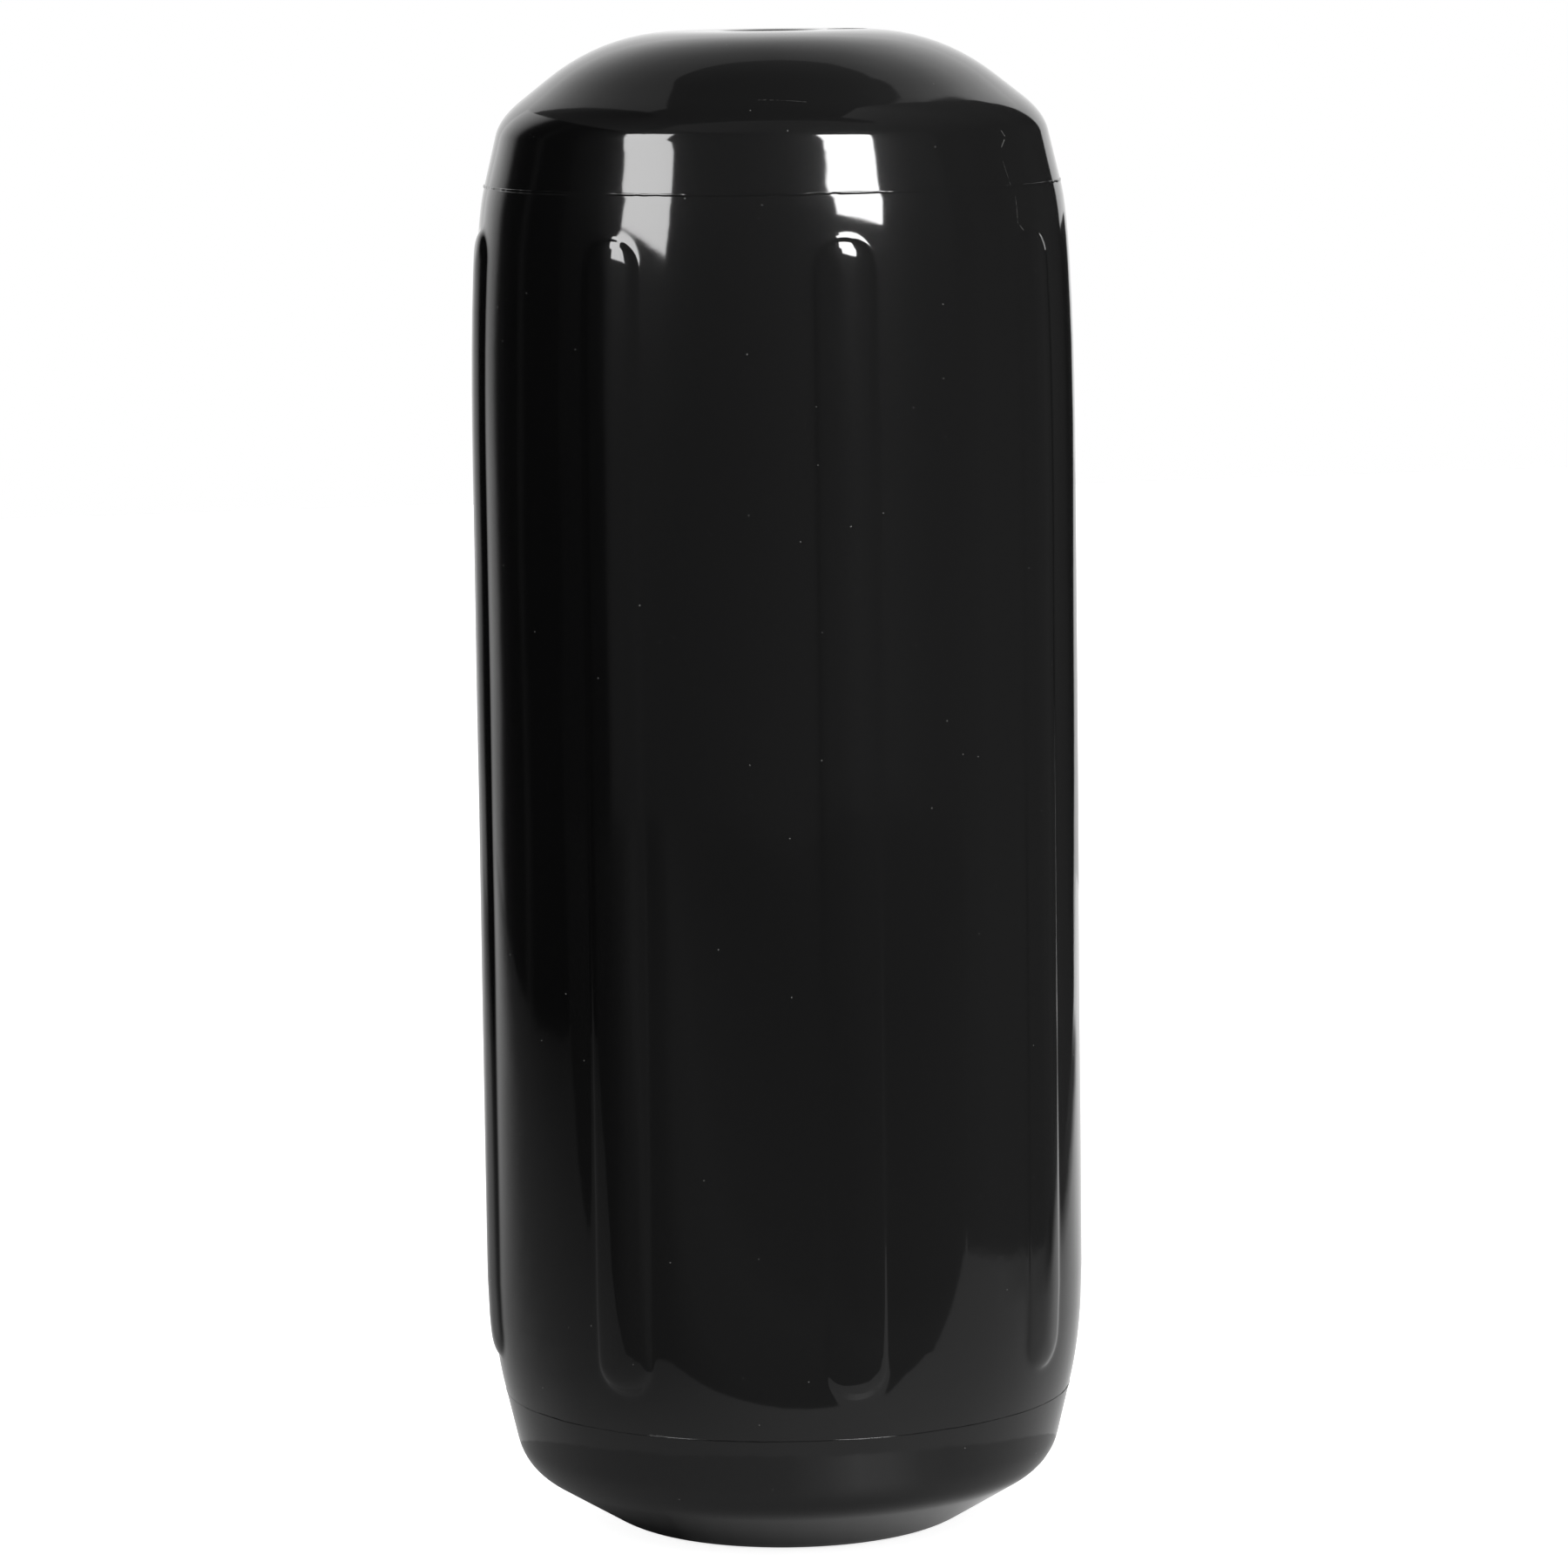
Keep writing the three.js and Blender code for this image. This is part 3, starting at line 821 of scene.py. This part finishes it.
def new_material(name):
    """A material with only its output and a Principled shader, a writer and the object's own place."""
    material = bpy.data.materials.new(name)
    material.use_nodes = True
    tree = material.node_tree
    tree.nodes.clear()
    write = NodeWriter(tree)
    shader = write.add("ShaderNodeBsdfPrincipled")
    write.add("ShaderNodeOutputMaterial", {"Surface": shader.outputs[0]})
    place = write.add("ShaderNodeTexCoord").outputs["Object"]
    return material, write, shader, place


def plain(shader, **values):
    """Sets a shader's own sockets to constants."""
    for name, value in values.items():
        shader.inputs[name.replace("_", " ")].default_value = value


def effect(write, place, name, **values):
    """One use of a shared node group, which is made the first time that a material asks for it."""
    tree = bpy.data.node_groups.get(name) or GROUP_MAKERS[name]()
    node = write.add("ShaderNodeGroup", {"Place": place}, node_tree=tree)
    plain(node, **values)
    return node.outputs[0]


def bumped(write, shader, height):
    """Feeds a shader's normal from a height in metres."""
    bump = write.add("ShaderNodeBump", {"Height": height, "Distance": 1.0, "Strength": 1.0})
    write.tree.links.new(bump.outputs[0], shader.inputs["Normal"])


def on_body(body, flash, azimuth, millimetres):
    """The point of the body's surface at an azimuth in degrees and a height in millimetres."""
    z = millimetres * MILLIMETRE
    heights = side_heights(body)
    outline = np.vstack([
        end_outline(body, "bottom"),
        np.column_stack([side_radius(body, heights, flash.flash_width), heights]),
        end_outline(body, "top")[::-1] * (1, -1) + (0, body.body_length),
    ])
    radius = np.interp(z, outline[:, 1], outline[:, 0])
    angle = math.radians(azimuth)
    return radius * math.sin(angle), -radius * math.cos(angle), z


def vinyl_material(settings):
    """Glossy black vinyl with mould ripple, handling haze, a few scratches and specks of dust."""
    body = settings.body
    material, write, shader, place = new_material("glossy_black_vinyl")
    plain(shader, IOR=1.53, Coat_Weight=0.07, Coat_Roughness=0.3, Coat_IOR=1.5)
    surface = effect(write, place, "moulded_surface", Ripple_Size=0.013, Ripple_Height=0.00003,
                     Grain_Size=0.0011, Grain_Height=0.0000012)
    handling = effect(write, place, "handling_haze", Smooth=0.06, Rubbed=0.15)
    dust = effect(write, place, "dust_specks", Spacing=0.0055, Speck_Size=0.00022, Share=0.3)
    scratched = 0.0
    for start, end, plainness in SCRATCHES:
        scratch = effect(write, place, "hairline_scratch", Half_Width=0.00028,
                         Start=on_body(body, settings.flash, *start),
                         End=on_body(body, settings.flash, *end))
        seen = write.math("MULTIPLY", scratch, plainness)
        scratched = write.math("MAXIMUM", scratched, seen)
    marks = write.math("MAXIMUM", dust, scratched)
    write.mixed(marks, body.vinyl_colour, DUST_COLOUR, shader.inputs["Base Color"])
    rough = write.math("MAXIMUM", handling, write.math("MULTIPLY", marks, MARK_ROUGHNESS))
    write.tree.links.new(rough, shader.inputs["Roughness"])
    dent = write.math("MULTIPLY", scratched, SCRATCH_DEPTH)
    bumped(write, shader, write.math("SUBTRACT", surface, dent))
    return material


def flash_material(settings):
    """The same vinyl where it squeezed out at the parting lines, a little duller and rougher."""
    material, write, shader, place = new_material("parting_line_vinyl")
    plain(shader, IOR=1.53, Base_Color=(*settings.body.vinyl_colour, 1))
    surface = effect(write, place, "moulded_surface", Ripple_Size=0.004, Ripple_Height=0.00002,
                     Grain_Size=0.0006, Grain_Height=0.000004)
    handling = effect(write, place, "handling_haze", Smooth=0.16, Rubbed=0.4)
    write.tree.links.new(handling, shader.inputs["Roughness"])
    bumped(write, shader, surface)
    return material


def rubber_material(settings):
    """Matt black rubber with a dry, dusty grain."""
    material, write, shader, place = new_material("valve_rubber")
    plain(shader, IOR=1.52)
    surface = effect(write, place, "moulded_surface", Ripple_Size=0.002, Ripple_Height=0.00001,
                     Grain_Size=0.0003, Grain_Height=0.000006)
    handling = effect(write, place, "handling_haze", Smooth=0.45, Rubbed=0.62)
    dust = effect(write, place, "dust_specks", Spacing=0.0012, Speck_Size=0.00012, Share=0.5)
    write.mixed(write.math("MULTIPLY", dust, 0.5), settings.valve.rubber_colour, DUST_COLOUR,
                shader.inputs["Base Color"])
    write.tree.links.new(handling, shader.inputs["Roughness"])
    bumped(write, shader, surface)
    return material


# Studio: lamps, softbox faces, and glowing panels that paint the room's light and shade into the
# reflections

STUDIO = Matrix.Rotation(CAMERA_AZIMUTH, 4, "Z")


def studio_point(x, y, z):
    """A point given from the camera's side: x to its right, y away from it."""
    return STUDIO @ Vector((x, y, z))


def beside(azimuth, distance, across, height):
    """A point of an upright plane that faces the fender from an azimuth about the camera's axis."""
    turn = math.radians(azimuth)
    outward = Vector((math.sin(turn), -math.cos(turn), 0)) * distance
    sideways = Vector((math.cos(turn), math.sin(turn), 0)) * across
    return STUDIO @ (outward + sideways + Vector((0, 0, height)))


def glow_material(name):
    """A plain glow whose brightness each corner of the panel gives."""
    material = bpy.data.materials.new(name)
    material.use_nodes = True
    material.node_tree.nodes.clear()
    write = NodeWriter(material.node_tree)
    level = write.add("ShaderNodeAttribute", attribute_name="glow").outputs["Fac"]
    glow = write.add("ShaderNodeEmission", {"Strength": level})
    write.add("ShaderNodeOutputMaterial", {"Surface": glow.outputs[0]})
    return material


def seen_only_in_gloss(piece):
    piece.visible_camera = False
    piece.visible_diffuse = False
    piece.visible_shadow = False
    piece.visible_transmission = False


def glow_panel(name, corners, faces, levels):
    """A panel that only shows in reflections, with a brightness at each corner."""
    mesh = bpy.data.meshes.new(name)
    mesh.from_pydata([tuple(corner) for corner in corners], [], faces)
    glow = mesh.attributes.new("glow", "FLOAT", "POINT")
    glow.data.foreach_set("value", levels)
    panel = mesh_object(name, mesh, glow_material(name))
    seen_only_in_gloss(panel)
    return panel


def glow_sheet(name, rows, levels):
    """A panel of rows and columns of points, with a brightness at each point."""
    columns = len(rows[0])
    faces = [(r * columns + c, r * columns + c + 1, (r + 1) * columns + c + 1, (r + 1) * columns + c)
             for r in range(len(rows) - 1) for c in range(columns - 1)]
    return glow_panel(name, [point for row in rows for point in row], faces,
                      [level for row in levels for level in row])


def softbox(name, azimuth, outline, level):
    """A softbox's glowing face, from its outline across and up its own plane."""
    corners = [beside(azimuth, SOFTBOX_DISTANCE, across, height) for across, height in outline]
    return glow_panel(name, corners, [tuple(range(len(corners)))], [level] * len(corners))


def softbox_lamp(name, azimuth, outline, power):
    """The light that a softbox throws on the colours of what stands before it."""
    across, height = np.array(outline).T
    lamp = bpy.data.lights.new(name, "AREA")
    lamp.shape = "RECTANGLE"
    lamp.size, lamp.size_y = float(np.ptp(across)), float(np.ptp(height))
    lamp.energy = power
    piece = bpy.data.objects.new(name, lamp)
    bpy.context.collection.objects.link(piece)
    place = beside(azimuth, SOFTBOX_DISTANCE, float(across.mean()), float(height.mean()))
    aim = Vector((0, 0, LAMP_AIM_HEIGHT))
    piece.location = place
    piece.rotation_euler = (aim - place).to_track_quat("-Z", "Y").to_euler()
    piece.visible_glossy = False
    return piece


def room_wall(grey):
    """A painted reflection of the grey room in front of the fender, from the left flag round to the right
    one.
    """
    azimuths = [azimuth for azimuth, _ in WALL_LEVELS]
    rows, levels = [], []
    for elevation, gain in WALL_GAINS:
        reach = WALL_DISTANCE * math.tan(math.radians(elevation)) + WALL_CENTRE_HEIGHT
        rows.append([beside(azimuth, WALL_DISTANCE, 0, reach) for azimuth in azimuths])
        levels.append([level * gain * grey / WALL_GREY for _, level in WALL_LEVELS])
    glow_sheet("room_wall", rows, levels)


def painted_flag_reflections():
    """Painted reflections of the dark boards on both sides of the fender, with their light and shade
    painted in.
    """
    rows = [[studio_point(LEFT_FLAG_ACROSS, away, height) for away, _ in LEFT_FLAG]
            for height in (0, LEFT_FLAG_HEIGHT)]
    glow_sheet("left_flag", rows, [[level for _, level in LEFT_FLAG]] * 2)
    rows = [[studio_point(LEFT_FLAG_ACROSS, column[end], height) for column in UPPER_LEFT_FLAG]
            for end, height in enumerate((LEFT_FLAG_HEIGHT, CEILING_HEIGHT))]
    glow_sheet("upper_left_flag", rows, [[level for _, _, level in UPPER_LEFT_FLAG]] * 2)
    rows = [[], [], []]
    for away, low, top, _, _ in RIGHT_FLAG:
        middle = RIGHT_FLAG_SHOULDER if top > RIGHT_FLAG_SHOULDER else (low + top) / 2
        for row, height in zip(rows, (low, middle, top)):
            row.append(studio_point(RIGHT_FLAG_ACROSS, away, height))
    lower, upper = [column[3] for column in RIGHT_FLAG], [column[4] for column in RIGHT_FLAG]
    glow_sheet("right_flag", rows, [lower, lower, upper])


def eased(value, start, end):
    """Nothing before the start, all after the end and a smooth rise between them."""
    t = np.clip((value - start) / (end - start), 0, 1)
    return t * t * (3 - 2 * t)


def bell(value, middle, width):
    """One at the middle, fading to nothing on both sides."""
    return np.exp(-((value - middle) / width) ** 2)


def ceiling():
    """A painted reflection of the ceiling, its painted light brighter far away and at the right."""
    columns = np.linspace(*CEILING_ACROSS)
    rightness = eased(columns, *CEILING_RISE)
    rows = [[studio_point(x, away, CEILING_HEIGHT) for x in columns] for away, _, _ in CEILING]
    glow_sheet("ceiling", rows, [left + (right - left) * rightness for _, left, right in CEILING])


def corner_panel(name, outline, height, levels):
    """A level panel with a brightness at each of its corners."""
    corners = [studio_point(x, y, height) for x, y in outline]
    return glow_panel(name, corners, [tuple(range(len(corners)))], levels)


def mirrored_floor():
    """A painted reflection of the floor: dim in front, bright beyond the fender, with the right flag's
    shadow painted in.
    """
    across, away = np.meshgrid(np.linspace(*MIRRORED_FLOOR_ACROSS), np.linspace(*MIRRORED_FLOOR_AWAY))
    edge = np.interp(across, *zip(*BRIGHT_FLOOR_EDGE))
    dim = np.interp(across, *zip(*DIM_FLOOR))
    bright = 1.0 + RIGHT_FLOOR_GAIN * eased(across, *RIGHT_FLOOR_GAIN_ACROSS)
    half = BRIGHT_FLOOR_SOFTNESS / 2
    level = dim + (bright - dim) * eased(away, edge - half, edge + half)
    shaded = eased(across, *FLAG_SHADE_ACROSS) * eased(away, *FLAG_SHADE_START)
    shaded = shaded * (1 - eased(away, *FLAG_SHADE_END))
    level += (FLAG_SHADE - level) * shaded
    rows = [[studio_point(x, y, MIRRORED_FLOOR_HEIGHT) for x, y in zip(*row)]
            for row in zip(across, away)]
    glow_sheet("mirrored_floor", rows, level)


def contact_shade():
    """A painted reflection of the floor round the foot: painted shadow dark at the foot, paler outwards
    and to the right.
    """
    turn, reach = np.meshgrid(np.linspace(*FOOT_TURNS), np.linspace(*FOOT_RINGS))
    room = FOOT_ROOM + FOOT_ROOM_RIGHT_GAIN * eased(turn, *FOOT_ROOM_RIGHT_TURN)
    room = room + FOOT_ROOM_BACK_GAIN * eased(np.abs(turn), *FOOT_ROOM_BACK_TURN)
    first, last = CRESCENT_TURN
    crescent = CRESCENT_LEVEL * np.clip((turn - first) / (last - first), 0, 1)
    crescent = crescent * bell(reach, CRESCENT_RING, CRESCENT_WIDTH)
    streak = STREAK_LEVEL * bell(turn, STREAK_TURN, STREAK_WIDTH) * eased(reach, *STREAK_REACH)
    level = room * eased(reach, *FOOT_DARK_REACH) + crescent + streak
    rows = [[studio_point(away * math.sin(bearing), -away * math.cos(bearing), FOOT_FLOOR_HEIGHT)
             for bearing, away in zip(*row)] for row in zip(np.radians(turn), reach)]
    glow_sheet("contact_shade", rows, level)


def camera_world(studio):
    """White for the picture's background, and soft light of its own level for the colours."""
    world = bpy.data.worlds.new("studio_world")
    bpy.context.scene.world = world
    world.use_nodes = True
    tree = world.node_tree
    tree.nodes.clear()
    write = NodeWriter(tree)
    rays = write.add("ShaderNodeLightPath").outputs
    seen = write.math("MAXIMUM", rays["Is Camera Ray"],
                      write.math("MAXIMUM", rays["Is Glossy Ray"], rays["Is Transmission Ray"]))
    extra = write.math("MULTIPLY", seen, 1.0 - studio.room_light)
    strength = write.math("ADD", extra, studio.room_light)
    light = write.add("ShaderNodeBackground", {"Color": (1, 1, 1, 1), "Strength": strength})
    write.add("ShaderNodeOutputWorld", {"Surface": light.outputs[0]})


def floor(studio):
    """A pale floor that keeps the fender's shadow and shows white to the camera."""
    mesh = bpy.data.meshes.new("studio_floor")
    reach = FLOOR_REACH
    mesh.from_pydata([(-reach, -reach, 0), (reach, -reach, 0), (reach, reach, 0), (-reach, reach, 0)],
                     [], [(0, 1, 2, 3)])
    material = bpy.data.materials.new("pale_floor")
    material.use_nodes = True
    write = NodeWriter(material.node_tree)
    shader = material.node_tree.nodes["Principled BSDF"]
    plain(shader, Base_Color=(*studio.floor_colour, 1), Roughness=0.6)
    shader.inputs["Emission Color"].default_value = (1, 1, 1, 1)
    rays = write.add("ShaderNodeLightPath").outputs
    seen = write.math("MAXIMUM", rays["Is Camera Ray"], rays["Is Transmission Ray"])
    lifted = write.math("ADD", write.math("MULTIPLY", seen, studio.floor_lift),
                        write.math("MULTIPLY", rays["Is Glossy Ray"], FLOOR_GLOSS_LIFT))
    material.node_tree.links.new(lifted, shader.inputs["Emission Strength"])
    piece = mesh_object("studio_floor", mesh, material)


def camera():
    """The photograph's camera, aimed at the middle of the fender."""
    lens = bpy.data.cameras.new("camera")
    lens.sensor_width = SENSOR_WIDTH
    lens.lens = FOCAL_PIXELS * SENSOR_WIDTH / PHOTO_PIXELS
    lens.shift_x = (PHOTO_PIXELS / 2 - AIM_PIXEL[0]) / PHOTO_PIXELS
    lens.shift_y = -(PHOTO_PIXELS / 2 - AIM_PIXEL[1]) / PHOTO_PIXELS
    lens.clip_end = 50
    piece = bpy.data.objects.new("camera", lens)
    bpy.context.collection.objects.link(piece)
    piece.location = studio_point(0, -CAMERA_DISTANCE, CAMERA_HEIGHT)
    aim = Vector((0, 0, (body_low.z + body_high.z) / 2)) - piece.location
    turn = aim.to_track_quat("-Z", "Y").to_matrix() @ Matrix.Rotation(CAMERA_ROLL, 3, "Z")
    piece.rotation_euler = turn.to_euler()
    bpy.context.scene.camera = piece


# Operators

def settings_of(context):
    return context.scene.fender


class FENDER_OT_body(bpy.types.Operator):
    """Build the moulded vinyl body with its ribs, rope tube and valve socket"""

    bl_idname = "fender.build_body"
    bl_label = "Body"

    def execute(self, context):
        settings = settings_of(context)
        mesh = grid_mesh("vinyl_body", body_rings(settings.body, settings.flash.flash_width))
        piece = mesh_object("vinyl_body", mesh)
        socket = lathe_mesh("socket_cutter", socket_outline(settings.valve))
        cutter = mesh_object("socket_cutter", socket)
        cutter.location.x = (valve_low.x + valve_high.x) / 2
        cut(piece, cutter)
        smooth(piece.data)
        piece.data.materials.append(vinyl_material(settings))
        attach(piece, "root")
        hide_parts("fender_body")
        return {"FINISHED"}


class FENDER_OT_flash_lines(bpy.types.Operator):
    """Build the thin uneven flash along both parting lines"""

    bl_idname = "fender.build_flash_lines"
    bl_label = "Flash lines"

    def execute(self, context):
        settings = settings_of(context)
        material = flash_material(settings)
        for end in ("top", "bottom"):
            name = f"{end}_flash_line"
            mesh = grid_mesh(name, flash_rings(settings.body, settings.flash, end))
            piece = mesh_object(name, mesh, material)
            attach(piece, "root")
        return {"FINISHED"}


class FENDER_OT_needle_valve(bpy.types.Operator):
    """Build the rubber needle valve in the top face"""

    bl_idname = "fender.build_needle_valve"
    bl_label = "Needle valve"

    def execute(self, context):
        settings = settings_of(context)
        mesh = lathe_mesh("rubber_valve", valve_outline(settings.valve))
        piece = mesh_object("rubber_valve", mesh, rubber_material(settings))
        piece.location.x = (valve_low.x + valve_high.x) / 2
        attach(piece, "root")
        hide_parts("needle_valve")
        return {"FINISHED"}


class FENDER_OT_studio(bpy.types.Operator):
    """Set up the camera, floor, softboxes and the painted reflections of the grey room, flags, ceiling and
    floor
    """

    bl_idname = "fender.build_studio"
    bl_label = "Studio"

    def execute(self, context):
        studio = settings_of(context).studio
        camera()
        camera_world(studio)
        floor(studio)
        # A painted reflection of the grey room, its light and shade painted into glowing levels
        room_wall(studio.room_grey)
        softbox("left_softbox", LEFT_SOFTBOX_AZIMUTH, LEFT_SOFTBOX_OUTLINE, studio.left_softbox)
        softbox("right_softbox", RIGHT_SOFTBOX_AZIMUTH, RIGHT_SOFTBOX_OUTLINE, studio.right_softbox)
        softbox_lamp("left_softbox_lamp", LEFT_SOFTBOX_AZIMUTH, LEFT_SOFTBOX_OUTLINE, studio.left_lamp)
        softbox_lamp("right_softbox_lamp", RIGHT_SOFTBOX_AZIMUTH, RIGHT_SOFTBOX_OUTLINE, studio.right_lamp)
        # Painted reflections of the flags, ceiling, overhead panel and floor, with the floor's shadows
        # painted in
        painted_flag_reflections()
        ceiling()
        corner_panel("overhead_panel", OVERHEAD_OUTLINE, OVERHEAD_HEIGHT, OVERHEAD_LEVELS)
        mirrored_floor()
        contact_shade()
        corner_panel("dark_floor", DARK_FLOOR_OUTLINE, DARK_FLOOR_HEIGHT, DARK_FLOOR_LEVELS)
        context.scene.view_settings.view_transform = "Standard"
        return {"FINISHED"}


class FENDER_PT_sidebar(bpy.types.Panel):
    """Lists the fender's pieces and their sizes"""

    bl_idname = "FENDER_PT_sidebar"
    bl_label = "Boat Fender"
    bl_space_type = "VIEW_3D"
    bl_region_type = "UI"
    bl_category = "Boat Fender"

    def draw(self, context):
        settings = settings_of(context)
        parts = (
            (FENDER_OT_body, settings.body), (FENDER_OT_flash_lines, settings.flash),
            (FENDER_OT_needle_valve, settings.valve), (FENDER_OT_studio, settings.studio),
        )
        for operator, sizes in parts:
            box = self.layout.box()
            box.operator(operator.bl_idname)
            for name in sizes.__annotations__:
                box.prop(sizes, name)


CLASSES = (
    BodySizes, FlashSizes, ValveSizes, StudioLook, FenderSettings,
    FENDER_OT_body, FENDER_OT_flash_lines, FENDER_OT_needle_valve, FENDER_OT_studio, FENDER_PT_sidebar,
)


def register():
    for made in CLASSES:
        bpy.utils.register_class(made)
    bpy.types.Scene.fender = PointerProperty(type=FenderSettings)


def unregister():
    del bpy.types.Scene.fender
    for made in reversed(CLASSES):
        bpy.utils.unregister_class(made)


def main():
    register()
    bpy.ops.fender.build_body()
    bpy.ops.fender.build_flash_lines()
    bpy.ops.fender.build_needle_valve()
    bpy.ops.fender.build_studio()


if __name__ == "__main__":
    main()
